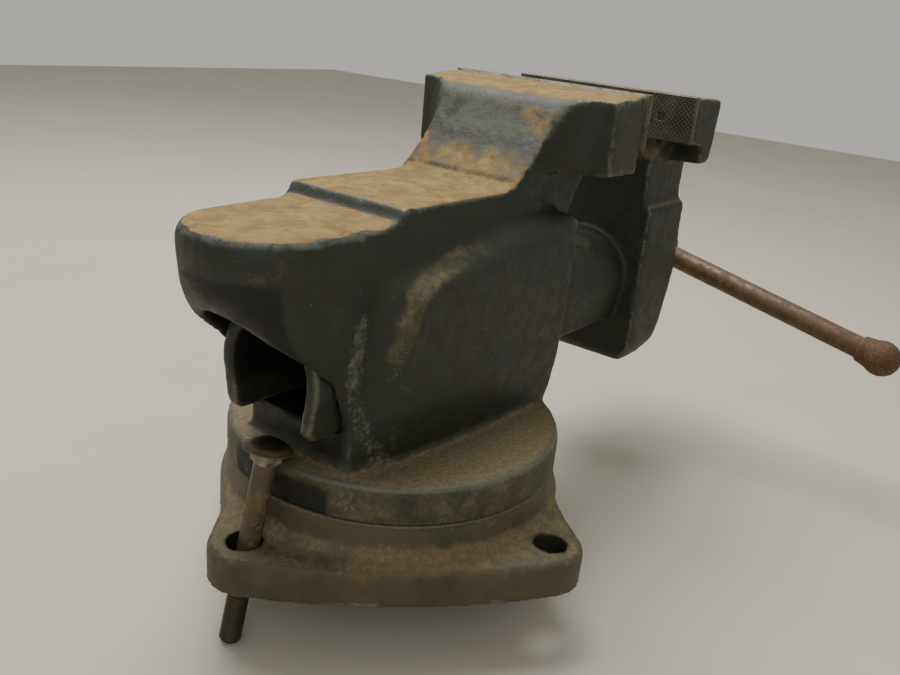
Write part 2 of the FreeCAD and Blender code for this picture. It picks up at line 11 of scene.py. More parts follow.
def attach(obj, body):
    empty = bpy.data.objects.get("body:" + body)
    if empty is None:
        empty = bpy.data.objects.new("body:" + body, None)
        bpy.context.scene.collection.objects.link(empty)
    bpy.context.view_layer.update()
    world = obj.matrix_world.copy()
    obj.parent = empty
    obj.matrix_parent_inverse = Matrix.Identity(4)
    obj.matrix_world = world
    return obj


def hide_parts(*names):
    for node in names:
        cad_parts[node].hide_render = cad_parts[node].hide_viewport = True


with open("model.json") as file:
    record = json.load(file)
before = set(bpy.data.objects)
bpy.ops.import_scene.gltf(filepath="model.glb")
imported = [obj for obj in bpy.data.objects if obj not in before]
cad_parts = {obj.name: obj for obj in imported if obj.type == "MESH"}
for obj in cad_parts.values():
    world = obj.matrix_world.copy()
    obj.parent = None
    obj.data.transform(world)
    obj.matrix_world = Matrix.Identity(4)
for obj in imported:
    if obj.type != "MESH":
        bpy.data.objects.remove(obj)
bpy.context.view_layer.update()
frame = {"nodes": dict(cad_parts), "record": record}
nodes = frame["nodes"]
record = frame["record"]
SLOT = {part["node"]: part["material_slot"] for part in record["subparts"]}
BODY = {node: body for body, members in record["behaviour"]["bodies"].items() for node in members}
MM = 0.001                     # the scene is in metres, every length below is in millimetres
SLIDE_HEIGHT = 117.0
LOCK_AXIS = 80.0 * np.array((math.cos(math.radians(70)), math.sin(math.radians(70))))
LOCK_THREAD_FOOT = 62.0
LOCK_THREAD_LENGTH = 22.0
HOLE_CIRCLE = 120.5
JAW_FACE = 136.8
MOVING_JAW_FACE = 211.0
JAW_HALF_WIDTH = 75.0
MOVING_JAW_HALF_WIDTH = 73.0
JAW_PLATE_BOTTOM = 228.0
JAW_TOP = 262.9
MOVING_JAW_TOP = 260.0
PLATE_THICKNESS = 5.0
PIN_OFFSET = 48
PIN_HEIGHT = 244
SCREW_HEIGHT = 122.0
SCREW_REAR = -70.0
SCREW_JOURNAL = 203.0
BAR_CENTRE = np.array((338.0, 0, SCREW_HEIGHT))
BAR_SLOPE = math.radians(12)
BAR_OUT = 86.6                 # how far the bar's middle has slid out of the head
BAR_HALF_LENGTH = 127.1
BAR_RADIUS = 8.98
BOLT_TIP = np.array((-128.9, 1.0, -38.0))
BOLT_TOP = np.array((-108.4, -4.9, 81.5))
BOLT_THREAD = 46               # length of the bolt's threaded end
FLOOR = -39.3                  # just under the loose bolt's tip
# masks: the worn-metal mask also carries a painted highlight on the body's panel corner; the last mask is
# near-black painted shade on recesses and hidden parts, and the screw's oil film
MASKS = ("edge", "cavity", "rust", "dust", "scuff", "grime", "bare_and_highlight", "painted_shade_and_oil")


# ------------------------------------------------------------------ noise and masks

def cell_value(x, y, z, seed):
    """Repeatable value from 0 to 1 for each whole-numbered cell."""
    mixed = (x * 374761393 + y * 668265263 + z * 1274126177 + seed * 974634777) & 0xFFFFFFFF
    mixed = ((mixed ^ (mixed >> 13)) * 1274126177) & 0xFFFFFFFF
    return ((mixed ^ (mixed >> 16)) & 0xFFFF) / 65535.0


def value_noise(points, size, seed):
    """Smooth noise from 0 to 1 that changes over the given distance."""
    scaled = points / size
    base = np.floor(scaled).astype(np.int64)
    part = scaled - base
    part = part * part * (3 - 2 * part)
    total = np.zeros(len(points))
    for corner in range(8):
        step = ((corner >> 2) & 1, (corner >> 1) & 1, corner & 1)
        weight = np.ones(len(points))
        for axis in range(3):
            weight = weight * (part[:, axis] if step[axis] else 1 - part[:, axis])
        total += weight * cell_value(base[:, 0] + step[0], base[:, 1] + step[1], base[:, 2] + step[2], seed)
    return total


def fractal(points, size, seed, octaves=3):
    total = np.zeros(len(points))
    share = 1.0
    whole = 0.0
    for octave in range(octaves):
        total += share * value_noise(points, size / 2 ** octave, seed + 17 * octave)
        whole += share
        share *= 0.55
    return total / whole


def ramp(value, low, high):
    """0 below low, 1 above high, smooth between; also runs downwards if low is the higher one."""
    t = np.clip((value - low) / (high - low), 0, 1)
    return t * t * (3 - 2 * t)


def near_path(points, path, width):
    """1 on a line through the path's points, falling to 0 at the given distance from it."""
    best = np.full(len(points), 1e9)
    for a, b in zip(path, path[1:]):
        a = np.array(a, float)
        run = np.array(b, float) - a
        along = np.clip((points - a) @ run / (run @ run), 0, 1)
        best = np.minimum(best, np.linalg.norm(points - a - along[:, None] * run, axis=1))
    return ramp(best, width, 0.25 * width)


def near_spot(points, centre, radius):
    return ramp(np.linalg.norm(points - np.array(centre, float), axis=1), radius, 0.3 * radius)


# ------------------------------------------------------------------ surfaces as arrays

class Skin:
    """A piece's surface as arrays of points, for rounding, wearing and masking it."""

    def __init__(self, obj):
        self.obj = obj
        self.mesh = obj.data
        count = len(self.mesh.vertices)
        flat = np.empty(count * 3)
        self.mesh.vertices.foreach_get("co", flat)
        self.co = flat.reshape(-1, 3) / MM
        ends = np.empty(len(self.mesh.edges) * 2, dtype=np.int32)
        self.mesh.edges.foreach_get("vertices", ends)
        self.ends = ends.reshape(-1, 2)
        self.degree = np.maximum(np.bincount(ends, minlength=count), 1)

    def mean(self, values):
        """Average of each point's neighbours."""
        first, second = self.ends[:, 0], self.ends[:, 1]
        columns = []
        for column in values.T:
            total = np.bincount(first, weights=column[second], minlength=len(values))
            total += np.bincount(second, weights=column[first], minlength=len(values))
            columns.append(total / self.degree)
        return np.stack(columns, axis=1)

    def relax(self, rounds, strength=0.5):
        """Pull each point towards its neighbours; strength may differ from point to point."""
        share = strength[:, None] if isinstance(strength, np.ndarray) else strength
        for _ in range(rounds):
            self.co = self.co + (self.mean(self.co) - self.co) * share

    def blur(self, values, rounds):
        column = values[:, None]
        for _ in range(rounds):
            column = 0.5 * column + 0.5 * self.mean(column)
        return column[:, 0]

    def write(self):
        self.mesh.vertices.foreach_set("co", (self.co * MM).ravel())
        self.mesh.update()

    def normals(self):
        self.write()
        flat = np.empty(len(self.co) * 3)
        self.mesh.vertices.foreach_get("normal", flat)
        return flat.reshape(-1, 3)

    def snap(self, source, where):
        """Put the points that a mask picks back on the CAD node's own surface, except along its rims."""
        where = where & (np.abs(self.curvature(5)) < 0.16)
        tree = BVHTree.FromObject(source, bpy.context.evaluated_depsgraph_get())
        for index in np.nonzero(where)[0]:
            hit = tree.find_nearest(Vector(self.co[index] * MM))
            if hit[0] is not None:
                self.co[index] = np.array(hit[0]) / MM

    def curvature(self, rounds=4):
        """How far each point stands out from (+) or sinks into (-) the surface around it."""
        kept = self.co
        smooth = kept
        for _ in range(rounds):
            smooth = 0.3 * smooth + 0.7 * self.mean(smooth)
        return np.sum((kept - smooth) * self.normals(), axis=1)

    def store(self, masks):
        for name in MASKS:
            layer = self.mesh.attributes.new(name, "FLOAT", "POINT")
            layer.data.foreach_set("value", np.clip(masks.get(name, np.zeros(len(self.co))), 0, 1))


def link(obj):
    bpy.context.scene.collection.objects.link(obj)
    return obj


def remeshed(node, voxel, keep=None):
    """Copy of a CAD node with an even, fine surface.

    keep is a plane, as a point and a normal; what lies behind it is cut away.
    """
    mesh = nodes[node].data.copy()
    work = bmesh.new()
    work.from_mesh(mesh)
    bmesh.ops.remove_doubles(work, verts=work.verts, dist=1e-6)
    if keep:
        everything = list(work.verts) + list(work.edges) + list(work.faces)
        cut = bmesh.ops.bisect_plane(work, geom=everything, plane_co=Vector(keep[0]) * MM,
                                     plane_no=Vector(keep[1]), clear_inner=True)
        rim = [item for item in cut["geom_cut"] if isinstance(item, bmesh.types.BMEdge)]
        bmesh.ops.holes_fill(work, edges=rim)
    bmesh.ops.recalc_face_normals(work, faces=work.faces)
    work.to_mesh(mesh)
    work.free()
    mesh.materials.clear()
    obj = link(bpy.data.objects.new("look_" + node, mesh))
    modifier = obj.modifiers.new("remesh", "REMESH")
    modifier.mode = "VOXEL"
    modifier.voxel_size = voxel * MM
    modifier.adaptivity = 0
    fine = bpy.data.meshes.new_from_object(obj.evaluated_get(bpy.context.evaluated_depsgraph_get()))
    obj.modifiers.clear()
    obj.data = fine
    return obj


def turned(name, stations, radii, start, direction):
    """Closed turned or threaded surface; radii has a row for each station and a column for each angle."""
    axis = np.array(direction, float)
    axis /= np.linalg.norm(axis)
    side = np.cross(axis, (0.0, 0.0, 1.0) if abs(axis[2]) < 0.9 else (1.0, 0.0, 0.0))
    side /= np.linalg.norm(side)
    other = np.cross(axis, side)
    rows, columns = radii.shape
    angle = 2 * math.pi * np.arange(columns) / columns
    circle = np.cos(angle)[:, None] * side + np.sin(angle)[:, None] * other
    points = (np.array(start, float) + np.asarray(stations)[:, None, None] * axis
              + radii[:, :, None] * circle[None, :, :])
    faces = []
    for row in range(rows - 1):
        for column in range(columns):
            after = (column + 1) % columns
            faces.append((row * columns + column, row * columns + after,
                          (row + 1) * columns + after, (row + 1) * columns + column))
    faces.append(tuple(reversed(range(columns))))
    faces.append(tuple(range((rows - 1) * columns, rows * columns)))
    mesh = bpy.data.meshes.new(name)
    mesh.from_pydata((points.reshape(-1, 3) * MM).tolist(), [], faces)
    mesh.update()
    return link(bpy.data.objects.new(name, mesh))


def threaded(name, start, direction, length, crest, root, pitch, square, step, columns=48):
    """Rod with a helical thread; square is the share of the pitch that the crest's flat takes."""
    stations = np.arange(0, length + step / 2, step)
    turn = np.arange(columns) / columns
    phase = (stations[:, None] / pitch - turn[None, :]) % 1
    away = np.abs(phase - 0.5) * 2
    height = ramp(away, 1 - square * 0.55, 1 - square * 1.45) if square > 0.4 else 1 - away
    lead_in = np.clip(np.minimum(stations, length - stations) / (0.7 * pitch), 0, 1)[:, None]
    radii = root + (crest - root) * height * lead_in
    return turned(name, stations, radii, start, direction)


def join(first, *others):
    work = bmesh.new()
    for obj in (first,) + others:
        work.from_mesh(obj.data)
    work.to_mesh(first.data)
    work.free()
    for obj in others:
        bpy.data.objects.remove(obj)
    return first


def adopt(obj, node, material):
    """The piece stands for a CAD node, moves with its body and takes its finish."""
    obj.data.materials.clear()
    obj.data.materials.append(material)
    obj.data.polygons.foreach_set("use_smooth", [True] * len(obj.data.polygons))
    obj.data.update()
    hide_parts(node)
    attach(obj, BODY[node])


# ------------------------------------------------------------------ materials

def colour(code):
    """Linear colour from a hexadecimal sRGB code."""
    parts = [int(code[i:i + 2], 16) / 255 for i in (0, 2, 4)]
    return [p / 12.92 if p <= 0.04045 else ((p + 0.055) / 1.055) ** 2.4 for p in parts] + [1.0]


THIN_PAINT = colour("55544a")
HOLLOW_DIRT = colour("1c1915")
# grey of worn-through paint; on the body's panel corner it is a painted highlight
GREY_IRON_AND_HIGHLIGHT = colour("43453c")
DUST = (colour("665c42"), colour("827857"))
WORN_RIM = colour("66675b")
BROWN_RUST = colour("5d491f")
DARK_RUST = colour("403419")
PALE_RUST = colour("a8965f")
DEEP_RUST = colour("63502a")
SCUFF = (colour("63665c"), colour("8f8f7d"))
GRIME = (colour("575035"), colour("857b55"))
SPECK = colour("8f8b78")
PAINTED_SHADE_BLACK = colour("0b0a09")
# near-black painted shade for the castings' tunnels, bores and the hood's inside
STEEL_RUST = colour("3c2b1c")
STEEL_DIRT = colour("1a1510")
STEEL_DUST = colour("6d5836")
STEEL_BARE = colour("9a9484")
# near-black painted shade on hidden steel, also used for the screw's oil film
STEEL_SHADE_AND_OIL_BLACK = colour("0d0b09")


class Shader:
    """Small helper around one material's node tree."""

    def __init__(self, name):
        self.material = bpy.data.materials.new(name)
        self.material.use_nodes = True
        self.tree = self.material.node_tree
        self.surface = self.tree.nodes["Principled BSDF"]
        self.place = self.tree.nodes.new("ShaderNodeTexCoord").outputs["Object"]

    def connect(self, value, socket):
        if isinstance(value, bpy.types.NodeSocket):
            self.tree.links.new(value, socket)
        else:
            socket.default_value = value

    def noise(self, size, detail=4.0, roughness=0.6, distortion=0.0, stretch=(1, 1, 1)):
        mapping = self.tree.nodes.new("ShaderNodeMapping")
        mapping.inputs["Scale"].default_value = stretch
        mapping.inputs["Location"].default_value = (size * 0.37, size * 0.11, size * 0.23)
        self.tree.links.new(self.place, mapping.inputs["Vector"])
        node = self.tree.nodes.new("ShaderNodeTexNoise")
        node.inputs["Scale"].default_value = 1 / (size * MM)
        node.inputs["Detail"].default_value = detail
        node.inputs["Roughness"].default_value = roughness
        node.inputs["Distortion"].default_value = distortion
        self.tree.links.new(mapping.outputs["Vector"], node.inputs["Vector"])
        return node.outputs["Fac"]

    def mask(self, name):
        node = self.tree.nodes.new("ShaderNodeAttribute")
        node.attribute_name = name
        return node.outputs["Fac"]

    def math(self, operation, first, second=0.0):
        node = self.tree.nodes.new("ShaderNodeMath")
        node.operation = operation
        node.use_clamp = False
        self.connect(first, node.inputs[0])
        self.connect(second, node.inputs[1])
        return node.outputs[0]

    def times(self, first, second):
        return self.math("MULTIPLY", first, second)

    def plus(self, first, second):
        return self.math("ADD", first, second)

    def step(self, value, low, high):
        node = self.tree.nodes.new("ShaderNodeMapRange")
        node.interpolation_type = "SMOOTHSTEP"
        node.inputs["From Min"].default_value = low
        node.inputs["From Max"].default_value = high
        self.connect(value, node.inputs["Value"])
        return node.outputs["Result"]

    def mix(self, share, first, second):
        node = self.tree.nodes.new("ShaderNodeMix")
        node.data_type = "RGBA"
        self.connect(share, node.inputs["Factor"])
        self.connect(first, node.inputs[6])
        self.connect(second, node.inputs[7])
        return node.outputs[2]

    def blend(self, share, first, second):
        node = self.tree.nodes.new("ShaderNodeMix")
        node.data_type = "FLOAT"
        self.connect(share, node.inputs["Factor"])
        self.connect(first, node.inputs[2])
        self.connect(second, node.inputs[3])
        return node.outputs[0]

    def bump(self, height, strength, distance, normal=None):
        node = self.tree.nodes.new("ShaderNodeBump")
        node.inputs["Strength"].default_value = strength
        node.inputs["Distance"].default_value = distance * MM
        self.connect(height, node.inputs["Height"])
        if normal is not None:
            self.tree.links.new(normal, node.inputs["Normal"])
        return node.outputs["Normal"]


def painted_iron(name, paint, second, film, worn, tops, tops_second):
    """Old paint over cast iron: patchy colour, worn rims, worn patches (on the body's panel corner a painted
    highlight), rusty tops, dust, scuffs, yellow grime and near-black painted shade.
    """
    s = Shader(name)
    broad = s.noise(55, 3, 0.6, 0.6)
    middle = s.noise(11, 5, 0.65, 0.4)
    small = s.noise(2.6, 4, 0.7)
    grain = s.noise(0.9, 3, 0.6)
    base = s.mix(s.step(broad, 0.38, 0.62), colour(paint), colour(second))
    base = s.mix(s.times(s.step(middle, 0.45, 0.7), 0.62), base, colour(film))
    base = s.mix(s.times(s.step(small, 0.62, 0.78), 0.3), base, THIN_PAINT)
    cavity = s.step(s.plus(s.mask("cavity"), s.times(small, 0.3)), 0.35, 0.95)
    base = s.mix(s.times(cavity, 0.6), base, HOLLOW_DIRT)
    # worn patches; on the body's panel corner this is a painted highlight
    bare_and_highlight = s.step(s.plus(s.mask("bare_and_highlight"), s.times(s.plus(middle, -0.5), 1.1)), 0.35, 0.75)
    base = s.mix(s.times(bare_and_highlight, 0.85), base, s.mix(small, colour(worn), GREY_IRON_AND_HIGHLIGHT))
    dust = s.step(s.plus(s.mask("dust"), s.times(s.plus(middle, -0.5), 0.9)), 0.2, 0.85)
    base = s.mix(s.times(dust, 0.8), base, s.mix(s.step(small, 0.35, 0.7), *DUST))
    edge = s.step(s.plus(s.mask("edge"), s.times(s.plus(small, -0.5), 0.9)), 0.38, 0.9)
    base = s.mix(s.times(edge, 0.75), base, s.mix(grain, colour(worn), WORN_RIM))
    rust = s.step(s.plus(s.mask("rust"), s.times(s.plus(middle, -0.5), 0.85)), 0.28, 0.78)
    ochre = s.mix(s.step(s.noise(16, 5, 0.7, 0.8), 0.36, 0.64), colour(tops), colour(tops_second))
    ochre = s.mix(s.times(s.step(small, 0.5, 0.72), 0.55), ochre, BROWN_RUST)
    ochre = s.mix(s.times(s.step(s.noise(7, 4, 0.6), 0.54, 0.72), 0.5), ochre, DARK_RUST)
    ochre = s.mix(s.times(s.step(s.noise(24, 4, 0.6, 1.2), 0.58, 0.74), 0.4), ochre, PALE_RUST)
    ochre = s.mix(s.times(s.step(s.noise(31, 5, 0.65, 0.9), 0.5, 0.7), 0.6), ochre, DEEP_RUST)
    base = s.mix(rust, base, ochre)
    scuff = s.step(s.plus(s.mask("scuff"), s.times(s.plus(small, -0.5), 1.1)), 0.3, 0.85)
    base = s.mix(s.times(scuff, 0.7), base, s.mix(grain, *SCUFF))
    grime = s.step(s.plus(s.mask("grime"), s.times(s.plus(small, -0.5), 2.0)), 0.45, 0.8)
    base = s.mix(s.times(grime, 0.85), base, s.mix(grain, *GRIME))
    specks = s.step(s.noise(1.7, 2, 0.5), 0.735, 0.77)
    base = s.mix(s.times(specks, 0.55), base, SPECK)
    # painted shade: near-black where recesses and hidden parts lie in shade
    base = s.mix(s.mask("painted_shade_and_oil"), base, PAINTED_SHADE_BLACK)
    s.connect(base, s.surface.inputs["Base Color"])
    rough = s.blend(s.step(middle, 0.3, 0.7), 0.46, 0.66)
    rough = s.blend(rust, rough, 0.78)
    rough = s.blend(dust, rough, 0.9)
    rough = s.blend(s.times(edge, 0.7), rough, 0.4)
    s.connect(rough, s.surface.inputs["Roughness"])
    s.connect(s.times(edge, 0.35), s.surface.inputs["Metallic"])
    s.surface.inputs["Specular IOR Level"].default_value = 0.4
    coarse = s.plus(s.times(middle, 1.0), s.times(small, 0.55))
    normal = s.bump(coarse, 0.55, 0.9)
    normal = s.bump(s.plus(grain, s.times(s.noise(0.45, 2, 0.5), 0.5)), 0.35, 0.25, normal)
    s.connect(normal, s.surface.inputs["Normal"])
    return s.material


def old_steel(name, steel, second, rusty, rust_share, metallic, stretch=(1, 1, 1), bright="8b8578"):
    """Bare steel with patina, rust patches, handled bright edges and fine scratches; near-black painted shade
    on hidden parts, and an oil film on the screw.
    """
    s = Shader(name)
    broad = s.noise(26, 4, 0.6, 0.5, stretch)
    middle = s.noise(7, 5, 0.65, 0.3, stretch)
    small = s.noise(1.8, 4, 0.65, 0.0, stretch)
    grain = s.noise(0.7, 3, 0.6)
    base = s.mix(s.step(broad, 0.35, 0.65), colour(steel), colour(second))
    level = 0.72 - 0.35 * rust_share
    rust = s.step(s.plus(s.plus(middle, s.times(s.mask("rust"), 0.5)), s.times(s.plus(small, -0.5), 0.35)),
                  level, level + 0.14)
    rusted = s.mix(s.step(small, 0.35, 0.65), colour(rusty), STEEL_RUST)
    base = s.mix(s.times(rust, 0.85), base, rusted)
    cavity = s.step(s.plus(s.mask("cavity"), s.times(small, 0.25)), 0.3, 0.9)
    base = s.mix(s.times(cavity, 0.7), base, STEEL_DIRT)
    dust = s.step(s.plus(s.mask("dust"), s.times(s.plus(small, -0.5), 0.8)), 0.3, 0.8)
    base = s.mix(s.times(dust, 0.75), base, STEEL_DUST)
    edge = s.step(s.plus(s.mask("edge"), s.times(s.plus(small, -0.5), 0.8)), 0.4, 0.9)
    base = s.mix(s.times(edge, 0.7), base, colour(bright))
    bare_and_highlight = s.step(s.plus(s.mask("bare_and_highlight"), s.times(s.plus(middle, -0.5), 0.8)), 0.35, 0.7)
    base = s.mix(s.times(bare_and_highlight, 0.85), base, STEEL_BARE)
    # painted shade on hidden steel, and the screw's oil film
    base = s.mix(s.mask("painted_shade_and_oil"), base, STEEL_SHADE_AND_OIL_BLACK)
    s.connect(base, s.surface.inputs["Base Color"])
    rough = s.blend(s.step(middle, 0.3, 0.7), 0.36, 0.56)
    rough = s.blend(rust, rough, 0.8)
    rough = s.blend(s.times(edge, 0.8), rough, 0.3)
    s.connect(rough, s.surface.inputs["Roughness"])
    shine = s.times(s.math("SUBTRACT", 1.0, s.times(rust, 0.85)), metallic)
    s.connect(shine, s.surface.inputs["Metallic"])
    normal = s.bump(s.plus(middle, s.times(small, 0.6)), 0.4, 0.3)
    normal = s.bump(s.plus(grain, s.noise(0.5, 2, 0.5, 0.0, stretch)), 0.3, 0.12, normal)
    s.connect(normal, s.surface.inputs["Normal"])
    return s.material


casting_paint = painted_iron("casting_paint", "262a1e", "222720", "2c2a1d", "5c5f53", "8c7440", "745a2a")
base_paint = painted_iron("base_paint", "494330", "3b382a", "564a2f", "5e5c4a", "6e5c38", "574a2f")
jaw_steel = old_steel("jaw_steel", "5a574a", "454238", "5a4a30", 0.3, 0.35)
screw_steel = old_steel("screw_steel", "55524c", "3d3a35", "4b3a26", 0.35, 0.8)
handle_steel = old_steel("handle_steel", "614e37", "4f402d", "64482b", 0.75, 0.35, bright="8f7d60")
nut_iron = old_steel("nut_iron", "3e3c38", "33302c", "4a3a28", 0.4, 0.4)
bolt_steel = old_steel("bolt_steel", "4b4741", "37342f", "50381f", 0.5, 0.6)
mounting_bolt_steel = old_steel("mounting_bolt_steel", "5e533c", "4a4331", "705c3c", 0.4, 0.4)
MATERIAL = {"casting_paint": casting_paint, "base_paint": base_paint, "jaw_steel": jaw_steel,
            "screw_steel": screw_steel, "handle_steel": handle_steel, "nut_iron": nut_iron,
            "bolt_steel": bolt_steel, "mounting_bolt_steel": mounting_bolt_steel}


# ------------------------------------------------------------------ castings

def worn(skin, free, seed, lumps, pits, chips):
    """Sink the surface unevenly, as a sand casting is, and chip its outer edges.

    free is 0 where the surface must stay true.
    """
    out = np.clip(skin.curvature(3) / 0.35, 0, 1)
    uneven = lumps * fractal(skin.co, 38, seed) + pits * fractal(skin.co, 7, seed + 5)
    bite = ramp(fractal(skin.co, 5.5, seed + 9, 2), 0.56, 0.74) * skin.blur(out, 1) * chips
    skin.co = skin.co - skin.normals() * ((uneven + bite) * free)[:, None]


def shape_masks(skin, rounds=5, full=0.55):
    """Outer edges and hollows, from the surface's own curvature."""
    bend = skin.curvature(rounds)
    return {"edge": skin.blur(np.clip(bend / full, 0, 1), 1),
            "cavity": skin.blur(np.clip(-bend / full, 0, 1), 2)}


class Places:
    """Where each point of a skin lies and which way it faces, with two noises to break masks up."""

    def __init__(self, skin, size, seed):
        self.up = skin.normals()[:, 2]
        self.co = skin.co
        self.x, self.y, self.z = skin.co.T
        self.side = np.abs(self.y)
        self.wobble = fractal(skin.co, size, seed)
        self.fine = fractal(skin.co, 4, 22)


def body_zones(skin):
    """Distances from the slide's and the swivel's axes, the tunnel, and all surfaces that stay true."""
    x, y, z = skin.co.T
    side = np.abs(y)
    from_slide = np.hypot(y, z - SLIDE_HEIGHT)
    from_swivel = np.hypot(x, y)
    in_tunnel = (x < 98) & (z > 84.6) & ((from_slide < 37.8) | ((side < 37.5) & (z < SLIDE_HEIGHT)))
    at_lock = (np.hypot(x - LOCK_AXIS[0], y - LOCK_AXIS[1]) < 13.5) & (z < 68)
    exact = in_tunnel | (z < 44.0) | ((from_swivel < 53) & (z < 66.5)) | at_lock | ((x > 130.8) & (z > 227))
    exact |= (side < 16) & (x > 24) & (x < 94) & (z < 87)
    return from_slide, from_swivel, in_tunnel, exact


def ease_body(skin, exact, free):
    """Round the casting off, wear it unevenly and leave a shallow groove across the anvil's front.

    The anvil and the jaw stay sharpest, the tail is softer and the hood's thin rim is softest.
    """
    x, y, z = skin.co.T
    side = np.abs(y)
    sharp = ramp(z, 200, 207) * ramp(x, -64, -56) * ramp(side, 46, 40)
    sharp = np.maximum(sharp, ramp(z, 252, 258) * ramp(x, 78, 88))
    soft = np.clip(0.58 - 0.42 * sharp, 0.05, 0.6)
    hood_rim = ramp(x, -78, -88) * ramp(z, 176, 164) * ramp(z, 84, 90)
    skin.relax(3, 0.5)
    knife = skin.blur(np.clip(np.abs(skin.curvature(5)) / 0.3, 0, 1), 4) * hood_rim
    leg = ramp(x, -76, -84) * ramp(z, 138, 126) * ramp(z, 86, 92) * ramp(side, 26, 31)
    knife = np.maximum(knife, 0.4 * leg)
    skin.relax(44, 0.6 * np.clip(2.2 * knife, 0, 1))
    skin.relax(6, soft * free * (1 - 0.75 * hood_rim))
    ledge = ramp(side, 40, 46) * ramp(z, 66, 80) * ramp(z, 206, 192) * ramp(x, 108, 92) * ramp(x, -98, -84)
    skin.relax(7, 0.5 * ledge * free)
    tail = ramp(x, -58, -70) * ramp(z, 172, 182)
    skin.relax(12, 0.55 * tail * free)
    slope_foot = ramp(x, 32, 38) * ramp(x, 52, 46) * ramp(z, 202, 206)
    skin.relax(5, 0.5 * slope_foot * free)
    skin.snap(nodes["body_casting"], exact & (knife < 0.08))
    worn(skin, free * (1 - 0.6 * hood_rim), 3, 0.7, 0.35, 0.9)
    x, y, z = skin.co.T
    seam = np.exp(-((x - 41.5 - 2.5 * (fractal(skin.co, 18, 61) - 0.5)) / 1.6) ** 2) * ramp(z, 204, 206)
    seam *= ramp(side, 42, 37)
    skin.co = skin.co - skin.normals() * (0.9 * seam * free)[:, None]


def body_rust_and_wear(at):
    """Rust on the tops that are struck and rubbed, the paint worn thin around them, and a painted highlight
    down the panel's corner.
    """
    on_tail = ramp(at.up, 0.72, 0.93) * ramp(at.z, 193.5, 196.5) * ramp(at.x, -54, -58)
    tail_edge = np.where(at.x < -111, np.hypot(at.x + 111, at.y), at.side) - 36.5 - 4 * ramp(at.y, 0, 20)
    on_tail *= ramp(tail_edge + 7 * (at.wobble - 0.5), 4.5, 0.5)
    on_anvil = ramp(at.up, 0.75, 0.92) * ramp(at.z, 203.5, 205) * ramp(at.x, -62, -57) * ramp(at.z, 230, 210)
    on_jaw = ramp(at.up, 0.8, 0.95) * ramp(at.z, 255, 258)
    slope = (ramp(at.x, 36, 40) * ramp(at.z, 204, 208) * ramp(at.up, 0.25, 0.45) * ramp(at.side, 46, 42)
             * ramp(at.z, 256, 250))
    slope_low = slope * ramp(at.z, 244, 216) * (0.4 + 0.9 * (at.wobble - 0.35))
    slope_high = slope * ramp(at.wobble, 0.4, 0.8) * ramp(at.y, 25, -35) * 0.6
    tan_stain = 0.3 * near_spot(at.co, (-140, -31, 186), 26) * ramp(at.wobble, 0.35, 0.6)
    rust = np.maximum.reduce([on_tail, on_anvil, on_jaw, slope_low, slope_high, tan_stain])
    flare = ramp(at.x, 50, 70) * ramp(at.z, 214, 226) * ramp(at.up, -0.2, 0.2)
    rubbed = np.maximum(0.6 * slope * ramp(at.z, 218, 236), flare * 0.5 * ramp(at.side, 66, 40))
    tail_rim = ramp(at.z, 186, 194) * ramp(at.x, -60, -80) * ramp(at.up, 0.2, 0.5) * (1 - on_tail)
    # painted highlight: a lighter stripe down the panel's corner, coloured as worn paint
    corner_path = [(-22, -50, 176), (-56, -56, 166), (-62, -56, 150), (-60, -54, 96), (-54, -46, 67)]
    panel_corner_highlight = near_path(at.co, corner_path, 10)
    bare_and_highlight = np.maximum.reduce([rubbed, 0.6 * tail_rim, (0.2 + 0.35 * at.wobble) * panel_corner_highlight])
    return rust, bare_and_highlight


def body_dust(at, from_swivel):
    """Dust on the flange, along the panels' edges and on the jaw's ends."""
    flange_top = ramp(at.up, 0.75, 0.95) * ramp(at.z, 63, 65) * ramp(at.z, 70, 67)
    edge_path = [(-66, 53, 132), (-63, 56, 150), (-57, 56, 164), (-44, 53, 171), (-20, 51, 177),
                 (30, 51, 184)]
    on_edge = near_path(np.stack([at.x, at.side, at.z], 1), edge_path, 12)
    on_edge = on_edge * ramp(at.x, 40, -50) * (0.2 + 0.75 * at.wobble)
    jaw_end = ramp(at.side, 72.5, 74) * ramp(at.z, 211, 214)
    flange_side = 0.45 * ramp(from_swivel, 101, 102.2) * ramp(at.z, 66, 64) * (0.5 + at.wobble)
    at_seam = 0.5 * np.exp(-((at.z - 64) / 6) ** 2) * ramp(at.z, 60, 64)
    return np.maximum.reduce([flange_top * 0.85, on_edge, 0.38 * jaw_end * (0.6 + 0.6 * at.wobble), at_seam,
                              flange_side])


def body_scuffs(at):
    """Pale scrapes beside the hood, on the tail, on the panel's corner and at the jaw's end."""
    streak_path = [(-85.4, -43.5, 150), (-87.5, -43.5, 138), (-88.5, -43, 118)]
    streak = near_path(at.co, streak_path, 10) * (0.3 + 0.4 * at.fine)
    speckled_path = [(-88.5, -43, 120), (-82.3, -42, 100), (-74.6, -43, 80), (-62, -46, 67)]
    speckled = near_path(at.co, speckled_path, 10) * (0.2 + 0.45 * at.fine)
    patch = near_spot(at.co, (-62.5, 6, 199), 10) * (0.2 + 0.6 * at.fine)
    corner = near_spot(at.co, (114, -74, 258), 16) * ramp(at.fine, 0.5, 0.62) * 0.7
    ridge = near_path(at.co, [(-58, -57, 164), (-66, -54, 150), (-68, -52, 120)], 9) * (0.1 + 0.45 * at.fine)
    return np.maximum.reduce([streak, speckled, patch, corner, ridge])


def body_grime(at):
    """Yellow grime at the column's foot and on the jaw's end."""
    yellow = np.maximum(near_spot(at.co, (-92, -46, 53), 13), near_spot(at.co, (-70, -45, 69), 9))
    yellow = np.maximum(yellow, near_path(at.co, [(84, -70, 252), (106, -74, 254), (120, -75, 240)], 8) * 0.6)
    return yellow * (0.2 + 0.45 * at.fine)


